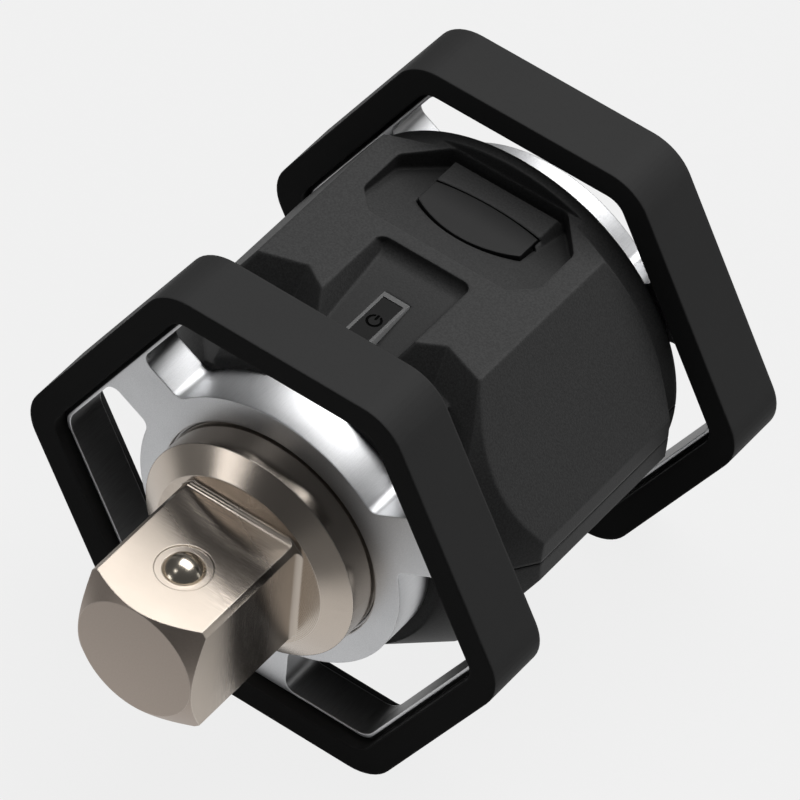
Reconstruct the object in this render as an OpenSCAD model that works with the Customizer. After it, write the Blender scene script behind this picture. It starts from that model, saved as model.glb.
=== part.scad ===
/* [Drive square] */
// Width of the male square across its flats
drive_af = 19.05; // [18.6:0.05:19.6]
// Length of the male square from its tip to the shoulder
drive_len = 23; // [21:0.5:26]
// Radius to which the square's corners are turned
drive_corner_r = 12.95; // [12.2:0.05:13.2]
// Radius of the flat round end face
tip_face_r = 9.4; // [8:0.1:10]
// Length of the conical chamfer at the tip
tip_chamfer = 2.6; // [2:0.1:4]
// Radius of the fillet between the square and the shoulder
root_fillet = 1; // [0.5:0.1:1.2]
// Radius of the flat shoulder behind the square
shoulder_r = 13.8; // [13.6:0.1:15]

/* [Detent] */
// Diameter of the detent ball
ball_d = 6.35; // [5.8:0.05:6.6]
// Distance of the ball from the tip
ball_from_tip = 10.2; // [9.5:0.1:11.5]
// Diameter of the staked lip that keeps the ball in
ball_lip_d = 5.9; // [5.5:0.05:5.95]
// Length of the tapered underside of the staked lip
ball_lip_len = 0.68; // [0.6:0.02:0.8]
// Diameter of the shallow ring pressed round the ball
stake_d = 8.1; // [7.4:0.1:9]
// Depth of that ring
stake_depth = 0.25; // [0.1:0.05:0.4]
// Travel of the ball into its bore
ball_travel = 1.7; // [1.2:0.1:1.8]
// Length of the spring under the ball when its turns touch
ball_spring_solid = 2.9; // [2.4:0.1:3.4]
// Wire band of the spring, from its outside to its inside
ball_spring_band = 0.8; // [0.6:0.1:1]

/* [Shaft] */
// Radius of the collar and of the two journals
collar_r = 17.5; // [16.8:0.1:18.5]
// Length of the cone between shoulder and collar
collar_cone_len = 2.3; // [1.5:0.1:3]
// Radius of the waist that carries the gauges
waist_r = 12.5; // [11:0.5:14]
// Length of the cylindrical part of the waist
waist_len = 12; // [10:0.5:14]
// Length of each flare between the waist and a journal
waist_flare = 3; // [2:0.5:4]
// Depth of the two gauge flats below the waist's surface
gauge_flat_depth = 1.2; // [0.8:0.1:1.6]
// Width of the female square across its flats
socket_af = 19.3; // [19.1:0.05:19.6]
// Depth of the female square
socket_depth = 25; // [24:0.5:26]
// Size of the chamfers at the socket's mouth and rim
socket_chamfer = 1; // [0.5:0.1:1.5]
// Diameter of the recesses in the socket's walls for a detent ball
socket_recess_d = 6.6; // [6:0.1:7]
// Depth of those recesses
socket_recess_depth = 2; // [1.5:0.1:2.2]

/* [Retaining rings] */
// Thickness of a retaining ring
clip_t = 1.2; // [1:0.1:1.5]
// Depth of the ring's groove in the shaft
clip_groove = 0.9; // [0.7:0.1:1.2]
// Height of a ring above the shaft's surface
clip_proud = 1.8; // [1.2:0.1:2.2]
// Width of the gap between a ring's ends
clip_gap = 9; // [6:0.5:12]

/* [Bumpers] */
// Distance from the axis to the three nearer sides
side_near = 34.2; // [33.6:0.1:35.4]
// Distance from the axis to the three farther sides
side_far = 36; // [35.2:0.1:37.2]
// Outside radius of a bumper's corners
bumper_corner_r = 7.5; // [6:0.5:9]
// Length of a bumper along the axis
bumper_len = 10.3; // [9.8:0.1:12]
// Width of a bumper's end face, from its outside to its opening
bumper_lip = 4.2; // [3.8:0.1:4.6]
// Thickness of a bumper over the flange's rim
bumper_band = 2.2; // [1.8:0.1:2.6]
// Distance from the shoulder to the front bumper's face
bumper_setback = 4.9; // [4:0.1:6]
// Distance between the front faces of the two bumpers
bumper_pitch = 56.1; // [54:0.1:60]

/* [Flanges] */
// Depth of a flange's outer face below its bumper's face
flange_setback = 1.9; // [1.4:0.1:2.2]
// Thickness of a flange
flange_t = 6.7; // [6:0.1:7]
// Radius of the round hub
hub_r = 21.9; // [21:0.1:22.6]
// Width of a spoke
spoke_w = 9.6; // [8:0.2:12]
// Width from the bumper's outside to a window's edge
window_rim = 5.3; // [5.1:0.1:5.8]
// Radius of the fillets in a window's corners
window_fillet = 1.7; // [1:0.1:2.2]
// Chamfer of a flange's edge next to the bumper
flange_chamfer = 0.7; // [0.4:0.1:0.8]
// Radial gap that shows round the collar at a flange's face
mouth_gap = 0.4; // [0.2:0.1:0.6]
// Depth of that gap
mouth_depth = 0.8; // [0.5:0.1:1.5]

/* [Housing] */
// Height of the top panel above the axis
panel_h = 26.6; // [26.4:0.1:27.2]
// Distance from the axis to the four slanting sides
slant_h = 29.4; // [28.8:0.1:30]
// Distance from the axis to the two upright sides
cheek_h = 31.8; // [31.2:0.1:32.4]
// Distance from the axis to the base
base_h = 26.7; // [26.2:0.1:28]
// Radius of the nose where it meets the front flange
nose_r = 23.65; // [23.2:0.1:24.4]
// Largest radius of the housing
girth_r = 33; // [32.6:0.1:34]
// Length of the nose's cone
nose_len = 14; // [12:0.5:15]
// Gap between the tail disc and the nearest sides of the rear bumper's opening
tail_gap = 0.9; // [0.7:0.1:1.5]
// Thickness of the tail disc
tail_t = 3.2; // [3:0.1:3.6]
// Depth to which the tail disc's rear edge is tapered
tail_edge = 1.7; // [1:0.1:2]
// Length of that taper
tail_taper = 1.4; // [1:0.1:2]
// Length of the cylinder between the tail disc and the rear cone
tail_step = 1.5; // [1:0.1:2]
// Length of the rear cone
tail_cone_len = 3.3; // [2.8:0.1:4]
// Wall thickness
wall = 2; // [1.8:0.1:2.2]
// Thickness of the end walls that hold bushes and seals
end_wall = 6.4; // [6.2:0.1:7]

/* [Button pocket] */
// Half of the pocket's width
pocket_half = 7.8; // [7.2:0.1:8.2]
// Depth of the pocket below the panel at the button's middle
pocket_depth = 3.4; // [3:0.1:3.8]
// Distance of the pocket's back wall from the nose
pocket_back = 26.3; // [25.8:0.1:26.8]
// Radius of the pocket's back corners
pocket_corner_r = 1.6; // [1:0.1:2]
// Lean of the pocket's side walls from the upright in degrees
pocket_lean = 28; // [20:1:30]
// Fall of the pocket's floor towards the nose in degrees
pocket_fall = 7; // [5:0.5:7.5]
// Radius of the fillet along the foot of the back wall
pocket_fillet = 2; // [1:0.1:2]
// Distance from the nose to the panel's front edge beside the pocket
brow_near = 13; // [12.4:0.1:13.6]
// Distance from the nose to the deepest point of the panel's front edge
brow_deep = 15.3; // [14.6:0.1:15.8]
// Distance from the nose to the panel's front edge at its corner
brow_side = 12.9; // [12.4:0.1:13.4]
// Distance of that deepest point from the middle plane
brow_x = 11.6; // [11:0.1:12.4]
// Distance of a scoop's inner end from the middle plane
brow_inner = 5; // [4.6:0.1:6]
// Depth of the scoops' floor below the panel
brow_drop = 5.4; // [4.8:0.1:5.4]
// Depth below the panel to which the scoops' outer ends run down beside the board
brow_outer_drop = 10; // [9.2:0.1:10.4]
// Slope of the scoops' walls in degrees
brow_slope = 62; // [55:1:70]

/* [Button] */
// Outside width of the button's frame
frame_w = 4.2; // [4:0.1:5]
// Outside length of the frame
frame_len = 10.8; // [10:0.1:11.5]
// Distance of the frame's middle from the nose
frame_at = 14.6; // [14:0.1:15.5]
// Width of the frame's rim along its sides
frame_rim = 0.4; // [0.35:0.05:0.6]
// Width of the frame's rim at its ends
frame_end = 1; // [0.8:0.1:1.2]
// Height of the frame's middle above the pocket's floor
frame_proud = 1; // [0.6:0.1:1.3]
// Travel of the button
button_travel = 0.6; // [0.4:0.05:0.7]
// Thickness of the key's foot under the floor
key_foot = 0.45; // [0.4:0.05:0.5]
// Width by which the foot reaches past the frame's opening
key_foot_step = 0.4; // [0.3:0.05:0.45]
// Depth of the key's top below the frame's top
key_drop = 0.1; // [0.05:0.05:0.3]
// Width of the power sign
sign_w = 2.2; // [1.6:0.1:2.4]
// Width of the power sign's groove
sign_line = 0.22; // [0.18:0.02:0.3]
// Depth of that groove
sign_depth = 0.08; // [0.05:0.01:0.1]

/* [Port recess] */
// Half of the recess's width
recess_half = 14.8; // [14.4:0.1:15]
// Distance from the tail disc to the recess's front edge
recess_len = 17.4; // [17:0.1:17.6]
// Depth of the recess at its front edge
recess_shallow = 0.9; // [0.6:0.1:1.2]
// Depth of the recess at its back wall
recess_deep = 3.8; // [3.6:0.1:4.2]
// Width of the panel's ledge behind the recess
recess_ledge = 0.2; // [0.2:0.1:0.5]
// Length of the recess's front corner cuts along the shaft and across it
recess_front_cut = 3.3; // [2.6:0.1:3.8]
// Length of its back corner cuts along the shaft
recess_back_cut = 5.9; // [5.4:0.1:6.4]
// Width of its back corner cuts across the shaft
recess_back_in = 5.2; // [4.6:0.1:5.6]
// Radius of the recess's corners
recess_corner_r = 1.6; // [1:0.1:2]
// Half of the width of the pad that carries the port cover
pad_half = 8.6; // [8.2:0.1:9.2]
// Depth of the pad's top below the panel
pad_drop = 1.4; // [1.2:0.1:1.5]
// Distance from the tail disc to the pad's front
pad_front = 12.3; // [12.1:0.1:12.6]
// Distance from the tail disc to the back edge of the pad's top
pad_back = 1.1; // [0.8:0.1:1.4]
// Rise of the pad's curved front edge
pad_bow = 2.4; // [2:0.1:2.8]

/* [Port cover] */
// Thickness of the cover
cover_t = 1.3; // [1.1:0.1:1.4]
// Gap under the cover
cover_gap = 0.2; // [0.15:0.05:0.25]
// Distance from the tail disc to the hinge axis
hinge_at = 6.65; // [6.5:0.05:6.8]
// Depth of the hinge axis below the pad's top
hinge_drop = 1.1; // [1.05:0.01:1.15]
// Radius of the cover's hinge barrel
barrel_r = 1.35; // [1.32:0.01:1.4]
// Bow of the cover's back edge
cover_bow = 0.7; // [0.4:0.1:0.8]
// Wall under the bowed part of the hinge's seat
seat_wall = 1.4; // [1.2:0.1:1.6]
// Radius of the hinge pin
pin_r = 0.35; // [0.3:0.01:0.38]
// Radius of the two lugs that hold the pin
lug_r = 0.65; // [0.6:0.01:0.66]
// Width of a lug
lug_w = 1.2; // [1:0.1:1.4]
// Distance of a lug's middle from the middle plane
lug_x = 6; // [5.6:0.1:6.4]
// Length of the hinge pin
pin_len = 15; // [14.4:0.1:15.6]

/* [Electronics] */
// Thickness of the main board
board_t = 1.2; // [1:0.1:1.4]
// Depth of the board's underside below the panel
board_drop = 8.7; // [8.4:0.1:8.8]
// Half of the board's width
board_half = 13.5; // [13:0.1:14]
// Distance of the board's front edge from the nose
board_front = 8.6; // [8.4:0.1:9.4]
// Length of the board
board_len = 32.6; // [31:0.1:33]
// Distance of the front board screws from the board's front edge
board_screw_front = 10.6; // [10.4:0.1:11]
// Width of the charging port
port_w = 9; // [8.8:0.1:9.2]
// Depth of the charging port's body along the shaft
port_t = 3.26; // [3.2:0.02:3.3]
// Height of the charging port's body
port_h = 3; // [2.8:0.1:3.1]
// Wall of the charging port's shell
port_shell = 0.35; // [0.3:0.05:0.4]
// Distance from the pad's front to the port's middle
port_from_pad = 2.7; // [2.6:0.05:2.8]
// Size of the radio module along the shaft
radio_len = 6; // [5:0.5:6.5]
// Width of the radio module
radio_w = 6; // [5:0.5:6.5]
// Height of the radio module
radio_h = 1.6; // [1.2:0.1:1.8]
// Distance of the radio and the buzzer from the middle plane
part_x = 5.5; // [5:0.5:6]
// Gap between the charging port and the radio and the buzzer
part_gap = 1; // [0.8:0.1:1.2]
// Width of the status light
light_w = 1.2; // [1:0.1:1.4]
// Diameter of the buzzer
buzzer_d = 6; // [5:0.5:6.5]
// Height of the buzzer
buzzer_h = 1.6; // [1.2:0.1:1.8]
// Size of the button's switch
switch_w = 3; // [2.6:0.1:3.4]
// Length of the battery cell
cell_len = 26; // [24:0.5:28]
// Gap between the battery cell and the nearer of the slanting and round walls at its foot
cell_side_gap = 5.3; // [4.8:0.1:6.6]
// Gap between the battery cell and the shaft
cell_gap = 1.8; // [1.4:0.1:2.4]
// Distance of the battery cell from the nose
cell_at = 12; // [11.5:0.5:12.5]
// Thickness of the battery tray
tray_t = 0.8; // [0.6:0.1:1]
// Length of a strain gauge
gauge_len = 3; // [2.5:0.1:3.5]
// Distance between the middles of two gauges on one flat
gauge_pitch = 4.4; // [4:0.1:4.8]
// Width of a strain gauge
gauge_w = 5; // [4:0.5:6]
// Thickness of a strain gauge with its coat
gauge_t = 0.3; // [0.2:0.05:0.4]
// Width of the flat lead
lead_w = 5; // [4:0.5:6]
// Thickness of the flat lead
lead_t = 0.3; // [0.2:0.05:0.4]

/* [Fasteners and seals] */
// Distance of a housing screw from the middle plane
screw_x = 23; // [22.8:0.1:23.4]
// Distance of the outer screws from the housing's ends
screw_end = 14; // [13:0.5:15]
// Radius of a screw boss
boss_r = 3.2; // [3:0.1:3.4]
// Radius of a housing screw's shank
screw_r = 1.25; // [1.1:0.05:1.4]
// Radius of a housing screw's head
screw_head_r = 2.2; // [2:0.1:2.3]
// Height of a housing screw's head
screw_head_h = 1.6; // [1.4:0.1:2]
// Depth of the screws' seats below the seam
screw_seat = 9; // [8:0.5:11]
// Length of a housing screw's shank above the seam
screw_reach = 7; // [6:0.5:9]
// Radius of a board screw's shank
board_screw_r = 0.8; // [0.7:0.05:0.9]
// Radius of a board screw's head
board_screw_head_r = 1.5; // [1.3:0.1:1.6]
// Height of a board screw's head
board_screw_head_h = 0.9; // [0.7:0.1:1]
// Length of a board screw's shank above the board
board_screw_reach = 2; // [1.6:0.1:2.2]
// Radius of a bush's outside
bush_r = 20.5; // [20.2:0.1:20.8]
// Length of a bush
bush_len = 4; // [3.5:0.1:4.2]
// Radius of the seals' cord
seal_r = 0.85; // [0.8:0.05:0.95]
// Width of the gasket strips in the seam
gasket_w = 0.9; // [0.7:0.1:1]
// Width of the seam's groove round the outside
seam_w = 0.3; // [0.2:0.05:0.4]
// Depth of the seam's groove
seam_depth = 0.3; // [0.2:0.05:0.4]
// Thickness of the rubber dome's skin
dome_skin = 0.3; // [0.25:0.05:0.35]
// Width of the dome
dome_w = 2.4; // [2:0.1:2.6]

/* [Hidden] */
$fn = 96;

// Clearances and the overrun of cuts
overrun = 1;
fit = 0.05;
slip = 0.1;
sliver = 0.01;
arc_steps = 8;

// Stations along the axis, from the tip
bumper_y0 = drive_len + bumper_setback;
bumper_y1 = bumper_y0 + bumper_len;
flange_y0 = bumper_y0 + flange_setback;
nose_y = flange_y0 + flange_t;
rear_bumper_y0 = bumper_y0 + bumper_pitch;
rear_bumper_y1 = rear_bumper_y0 + bumper_len;
end_y = rear_bumper_y1 - flange_setback;
back_y = end_y - flange_t;
tail_y = back_y - tail_t;
inner_y0 = nose_y + end_wall;
inner_y1 = back_y - end_wall;
tail_cone_y1 = tail_y - tail_step;
tail_cone_y0 = tail_cone_y1 - tail_cone_len;
tail_r = min(side_near, side_far) - bumper_lip - tail_gap;
reach = rear_bumper_y1 + side_far;

// Side lists: angle of each side's normal and its distance from the axis
function hex_sides(inset) =
    [for (i = [0:5]) [30 + 60 * i, (i % 2 == 0 ? side_near : side_far) - inset]];
function house_sides(inset) =
    [[0, cheek_h - inset], [30, slant_h - inset], [90, panel_h - inset], [150, slant_h - inset],
     [180, cheek_h - inset], [210, slant_h - inset], [270, base_h - inset], [330, slant_h - inset]];
// The point where two sides meet, each pulled in by the same distance
function meet(a, b, pull = 0) =
    [(a[1] - pull) * sin(b[0]) - (b[1] - pull) * sin(a[0]),
     (b[1] - pull) * cos(a[0]) - (a[1] - pull) * cos(b[0])] / sin(b[0] - a[0]);
function outline(sides) =
    [for (i = [0:len(sides) - 1]) meet(sides[i], sides[(i + 1) % len(sides)])];
// A side list with its corners turned into arcs
function rounded(sides, r) =
    [for (i = [0:len(sides) - 1])
        let (a = sides[i], b = sides[(i + 1) % len(sides)], c = meet(a, b, r), turn = 60)
        for (k = [0:arc_steps])
            let (t = a[0] + turn * k / arc_steps) c + r * [cos(t), sin(t)]];

// Extrudes a shape drawn in X and Z from one station to another
module along(y0, y1) {
    translate([0, y1, 0]) rotate([90, 0, 0]) linear_extrude(y1 - y0) children();
}
// Turns a profile of radius and station about the axis
module turned(points) {
    rotate([-90, 0, 0]) rotate_extrude() polygon(points);
}
module rod(r, y0, y1) {
    translate([0, y0, 0]) rotate([-90, 0, 0]) cylinder(r = r, h = y1 - y0);
}
// A block centred on X, given by its stations and heights
module block(half, y0, y1, z0, z1) {
    translate([-half, y0, z0]) cube([2 * half, y1 - y0, z1 - z0]);
}
module upright(x, y, z0, z1, r) {
    translate([x, y, z0]) cylinder(r = r, h = z1 - z0);
}
module hexagon(inset) {
    polygon(rounded(hex_sides(inset), max(bumper_corner_r - inset, bumper_band)));
}

// Shaft

ball_r = ball_d / 2;
ball_bore_r = ball_r + fit;
stake_z = drive_af / 2 - stake_depth;
ball_seat = sqrt(ball_r * ball_r - ball_lip_d * ball_lip_d / 4);
ball_z = stake_z - ball_seat - fit;
spring_r = ball_r - ball_spring_band / 2;
spring_bore_r = spring_r - ball_spring_band;
spring_top = ball_z - sqrt(ball_r * ball_r - spring_bore_r * spring_bore_r) - fit;
spring_len = ball_spring_solid + ball_travel;
spring_z = spring_top - spring_len;
groove_r = collar_r - clip_groove;
clip_y0 = inner_y0 + slip;
clip_y1 = clip_y0 + clip_t;
rear_clip_y1 = inner_y1 - slip;
rear_clip_y0 = rear_clip_y1 - clip_t;
socket_y = end_y - socket_depth;
waist_y1 = socket_y - waist_flare - wall;
waist_y0 = waist_y1 - waist_len;
gauge_z = waist_r - gauge_flat_depth;

module square_drive() {
    intersection() {
        block(drive_af / 2, 0, drive_len + overrun, -drive_af / 2, drive_af / 2);
        turned([[0, 0], [tip_face_r, 0], [drive_corner_r, tip_chamfer],
                [drive_corner_r, drive_len + overrun], [0, drive_len + overrun]]);
    }
}
module root_fillets() {
    half = drive_af / 2;
    intersection() {
        for (turn = [0:90:270]) rotate([0, turn, 0]) difference() {
            block(half, drive_len - root_fillet, drive_len + sliver, half - sliver, half + root_fillet);
            translate([-half - overrun, drive_len - root_fillet, half + root_fillet])
                rotate([0, 90, 0]) cylinder(r = root_fillet, h = drive_af + 2 * overrun);
        }
        rod(drive_corner_r, 0, drive_len + overrun);
    }
}
module ball_hole() {
    translate([0, ball_from_tip, 0]) {
        translate([0, 0, spring_z])
            cylinder(r = ball_bore_r, h = stake_z - ball_lip_len - spring_z);
        translate([0, 0, stake_z - ball_lip_len])
            cylinder(r1 = ball_bore_r, r2 = ball_lip_d / 2, h = ball_lip_len);
        translate([0, 0, stake_z - sliver])
            cylinder(r = ball_lip_d / 2, h = stake_depth);
        translate([0, 0, stake_z])
            cylinder(r = stake_d / 2, h = stake_depth + overrun);
    }
}
module socket() {
    half = socket_af / 2;
    recess_y = end_y - ball_from_tip;
    block(half, socket_y, end_y + overrun, -half, half);
    translate([0, end_y - socket_chamfer, 0]) rotate([-90, 0, 0])
        cylinder(r1 = half, r2 = half + 2 * socket_chamfer, h = socket_chamfer + sliver);
    for (turn = [0:90:270]) rotate([0, turn, 0])
        upright(0, recess_y, 0, half + socket_recess_depth, socket_recess_d / 2);
}
module torque_shaft() {
    color([0.74, 0.71, 0.67]) difference() {
        union() {
            square_drive();
            root_fillets();
            turned([[0, drive_len], [shoulder_r, drive_len], [collar_r, drive_len + collar_cone_len],
                    [collar_r, clip_y0], [groove_r, clip_y0], [groove_r, clip_y1], [collar_r, clip_y1],
                    [collar_r, waist_y0 - waist_flare], [waist_r, waist_y0], [waist_r, waist_y1],
                    [collar_r, waist_y1 + waist_flare], [collar_r, rear_clip_y0],
                    [groove_r, rear_clip_y0], [groove_r, rear_clip_y1], [collar_r, rear_clip_y1],
                    [collar_r, end_y - socket_chamfer], [collar_r - socket_chamfer, end_y], [0, end_y]]);
        }
        ball_hole();
        socket();
        for (side = [0, 1]) mirror([0, 0, side])
            block(collar_r, waist_y0, waist_y1, gauge_z, collar_r);
    }
}
module detent_ball() {
    color([0.8, 0.8, 0.8]) translate([0, ball_from_tip, ball_z]) sphere(r = ball_r);
}
module detent_spring() {
    color([0.6, 0.6, 0.62]) translate([0, ball_from_tip, spring_z]) difference() {
        cylinder(r = spring_r, h = spring_len);
        translate([0, 0, -overrun]) cylinder(r = spring_bore_r, h = spring_len + 2 * overrun);
    }
}

// Flanges and bumpers, drawn for the front and mirrored for the rear

// One window, between two spokes; the flange turns it about the axis
spoke_half = spoke_w / 2;
// The point of a spoke's edge at a given distance along the spoke, which leans by 30 degrees
function on_spoke(along_spoke, aside) =
    [along_spoke * cos(30) - aside * sin(30), along_spoke * sin(30) + aside * cos(30)];
function flip(p) = [-p[0], p[1]];
// Arc points that round the corner b of the path a, b, c
function round_corner(a, b, c, r) =
    let (u = (a - b) / norm(a - b), v = (c - b) / norm(c - b), half = acos(u * v) / 2,
         centre = b + (u + v) / norm(u + v) * r / sin(half),
         from = b + u * r / tan(half) - centre, to = b + v * r / tan(half) - centre,
         t0 = atan2(from[1], from[0]), raw = atan2(to[1], to[0]) - t0,
         turn = raw > 180 ? raw - 360 : raw < -180 ? raw + 360 : raw)
    [for (k = [0:arc_steps]) let (t = t0 + turn * k / arc_steps) centre + r * [cos(t), sin(t)]];
module hub_fillet() {
    u = sqrt(pow(hub_r + window_fillet, 2) - pow(spoke_half + window_fillet, 2));
    centre = on_spoke(u, spoke_half + window_fillet);
    root = on_spoke(sqrt(hub_r * hub_r - spoke_half * spoke_half) - sliver, spoke_half - sliver);
    difference() {
        polygon([centre, on_spoke(u, spoke_half - sliver), root,
                 centre * (hub_r - sliver) / (hub_r + window_fillet)]);
        translate(centre) circle(r = window_fillet);
    }
}
module window() {
    sides = hex_sides(window_rim);
    low = on_spoke(sides[0][1], spoke_half);
    high = meet(sides[0], sides[1]);
    bottom = [0, spoke_half / cos(30)];
    difference() {
        polygon(concat([bottom], round_corner(bottom, low, high, window_fillet),
                       round_corner(low, high, flip(high), 2 * window_fillet),
                       round_corner(high, flip(high), flip(low), 2 * window_fillet),
                       round_corner(flip(high), flip(low), bottom, window_fillet)));
        circle(r = hub_r);
        hub_fillet();
        mirror([1, 0]) hub_fillet();
    }
}
module flange() {
    step_y0 = flange_y0 + flange_chamfer;
    step_y1 = nose_y - flange_chamfer;
    color([0.78, 0.79, 0.8]) difference() {
        union() {
            along(step_y0, step_y1) hexagon(bumper_band);
            hull() {
                along(step_y0, step_y1) hexagon(bumper_lip);
                along(flange_y0, nose_y) hexagon(bumper_lip + flange_chamfer);
            }
        }
        for (turn = [0:120:240]) rotate([0, turn, 0])
            along(flange_y0 - overrun, nose_y + overrun) window();
        rod(collar_r + fit, flange_y0 - overrun, nose_y + overrun);
        rod(collar_r + mouth_gap, flange_y0 - overrun, flange_y0 + mouth_depth);
    }
}
module bumper() {
    step_y0 = flange_y0 + flange_chamfer;
    step_y1 = nose_y - flange_chamfer;
    color([0.1, 0.1, 0.105]) difference() {
        along(bumper_y0, bumper_y1) hexagon(0);
        along(bumper_y0 - overrun, bumper_y1 + overrun) hexagon(bumper_lip);
        along(step_y0, step_y1) hexagon(bumper_band);
    }
}
// Mirrors a front piece about the middle of the two bumpers
module at_rear() {
    translate([0, bumper_y0 + rear_bumper_y1, 0]) mirror([0, 1, 0]) children();
}
module front_flange() {
    flange();
}
module rear_flange() {
    at_rear() flange();
}
module front_bumper() {
    bumper();
}
module rear_bumper() {
    at_rear() bumper();
}

// Housing

nose_run = nose_len / (girth_r - nose_r);
nose_skin = wall * sqrt(1 + nose_run * nose_run) / nose_run;
tail_run = tail_cone_len / (girth_r - tail_r);
tail_skin = wall * sqrt(1 + tail_run * tail_run) / tail_run;
floor_z = panel_h - pocket_depth;
brow_floor = panel_h - brow_drop;
brow_outer_floor = panel_h - brow_outer_drop;
brow_outer_x = board_half + wall + slip;
pocket_y1 = nose_y + pocket_back;
recess_y0 = tail_y - recess_len;
recess_y1 = tail_y - recess_ledge;
pad_z = panel_h - pad_drop;
pad_y0 = tail_y - pad_front;
pad_y1 = tail_y - pad_back;
hinge_y = tail_y - hinge_at;
hinge_z = pad_z - hinge_drop;
cover_z = pad_z - cover_t;
seat_z = cover_z - cover_gap;
seat_r = barrel_r + cover_gap;
seat_low_z = hinge_z - seat_r - cover_bow;
frame_y = nose_y + frame_at;
frame_z = floor_z + frame_proud;
board_y0 = nose_y + board_front;
board_y1 = board_y0 + board_len;
board_z = panel_h - board_drop;
board_top = board_z + board_t;
port_y = pad_y0 + port_from_pad;
port_z = board_top + port_h;
base_z = wall - base_h;
screw_ys = [nose_y + screw_end, back_y - screw_end];
board_screw_ys = [board_y0 + board_screw_front, board_y1 - wall];
board_screw_x = board_half - wall;
part_y = port_y - port_t / 2 - part_gap;
cell_y = nose_y + cell_at;
cell_t = base_h - wall - tray_t - collar_r - cell_gap;
foot_round_x = sqrt(pow(girth_r - wall, 2) - pow(base_h - wall, 2));
foot_slant_x = meet(house_sides(wall)[5], house_sides(wall)[6])[0];
cell_half = min(foot_round_x, abs(foot_slant_x)) - cell_side_gap;

module housing_form(inset) {
    intersection() {
        along(nose_y, back_y) polygon(outline(house_sides(inset)));
        turned([[0, nose_y], [nose_r - inset, nose_y], [girth_r - inset, nose_y + nose_len],
                [girth_r - inset, tail_cone_y0], [tail_r - inset, tail_cone_y1],
                [tail_r - inset, tail_y], [0, tail_y]]);
    }
    turned([[0, tail_y], [tail_r - inset, tail_y], [tail_r - inset, back_y - tail_taper],
            [tail_r - tail_edge - inset, back_y], [0, back_y]]);
}
module cavity() {
    inner_r0 = nose_r + end_wall / nose_run - nose_skin;
    girth_y0 = nose_y + nose_len + (nose_skin - wall) * nose_run;
    girth_y1 = tail_cone_y0 - (tail_skin - wall) * tail_run;
    inner_r1 = girth_r - tail_skin - (inner_y1 - tail_cone_y0) / tail_run;
    difference() {
        intersection() {
            along(inner_y0, inner_y1) polygon(outline(house_sides(wall)));
            turned([[0, inner_y0], [inner_r0, inner_y0], [girth_r - wall, girth_y0],
                    [girth_r - wall, girth_y1], [inner_r1, inner_y1], [0, inner_y1]]);
        }
        brows(wall);
        block(pocket_half + wall, nose_y, pocket_y1 + wall, floor_z - wall, panel_h);
        block(pad_half + wall, pad_y0 - wall, tail_y, seat_z - wall, panel_h);
        block(pad_half + wall, hinge_y, tail_y, seat_low_z - seat_wall, panel_h);
        recess(wall);
    }
}
// The two scoops that cut the panel's front edge on either side of the pocket
module brow_plane(from, to, grow) {
    run = to - from;
    translate([from[0], from[1], panel_h]) rotate([0, 0, atan2(run[1], run[0])])
        rotate([brow_slope, 0, 0]) translate([-reach, -2 * reach, -grow])
            cube([2 * reach, 4 * reach, reach]);
}
module brows(grow) {
    near = [pocket_half, nose_y + brow_near];
    deep = [brow_x, nose_y + brow_deep];
    side = [meet(house_sides(0)[1], house_sides(0)[2])[0], nose_y + brow_side];
    for (left = [0, 1]) mirror([left, 0, 0]) intersection() {
        brow_plane(near, deep, grow);
        brow_plane(deep, side, grow);
        union() {
            translate([brow_inner - grow, nose_y - overrun, brow_floor - grow])
                cube([reach, reach, reach]);
            translate([brow_outer_x - grow, nose_y - overrun, brow_outer_floor - grow])
                cube([reach, reach, reach]);
        }
    }
}
// Plan of the pocket, with its two back corners rounded
module pocket_plan() {
    difference() {
        translate([-pocket_half, 0]) square([2 * pocket_half, pocket_y1]);
        for (side = [-1, 1]) translate([side * pocket_half, pocket_y1]) difference() {
            square(2 * pocket_corner_r, center = true);
            translate([-side * pocket_corner_r, -pocket_corner_r]) circle(r = pocket_corner_r);
        }
    }
}
// Height of the sloping floor at a station
function floor_at(y) = floor_z + (y - frame_y) * tan(pocket_fall);
// Section of the pocket along the shaft, with the fillet at the foot of its back wall
module pocket_section() {
    arc_y = pocket_y1 - pocket_fillet;
    arc_z = floor_at(arc_y) + pocket_fillet / cos(pocket_fall);
    foot = [arc_y + pocket_fillet * sin(pocket_fall), arc_z - pocket_fillet * cos(pocket_fall)];
    difference() {
        polygon([[0, floor_at(0)], [pocket_y1, floor_at(pocket_y1)], [pocket_y1, reach], [0, reach]]);
        difference() {
            polygon([[arc_y, arc_z], foot, [pocket_y1, floor_at(pocket_y1)], [pocket_y1, arc_z]]);
            translate([arc_y, arc_z]) circle(r = pocket_fillet);
        }
    }
}
module pocket() {
    lean_in = pocket_half - panel_h * tan(pocket_lean);
    lean_out = lean_in + reach * tan(pocket_lean);
    intersection() {
        linear_extrude(reach) pocket_plan();
        translate([-reach, 0, 0]) rotate([90, 0, 90]) linear_extrude(2 * reach) pocket_section();
        along(0, reach) intersection() {
            polygon([[lean_in, 0], [lean_out, reach], [-reach, reach], [-reach, 0]]);
            polygon([[-lean_in, 0], [-lean_out, reach], [reach, reach], [reach, 0]]);
        }
    }
}
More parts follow.
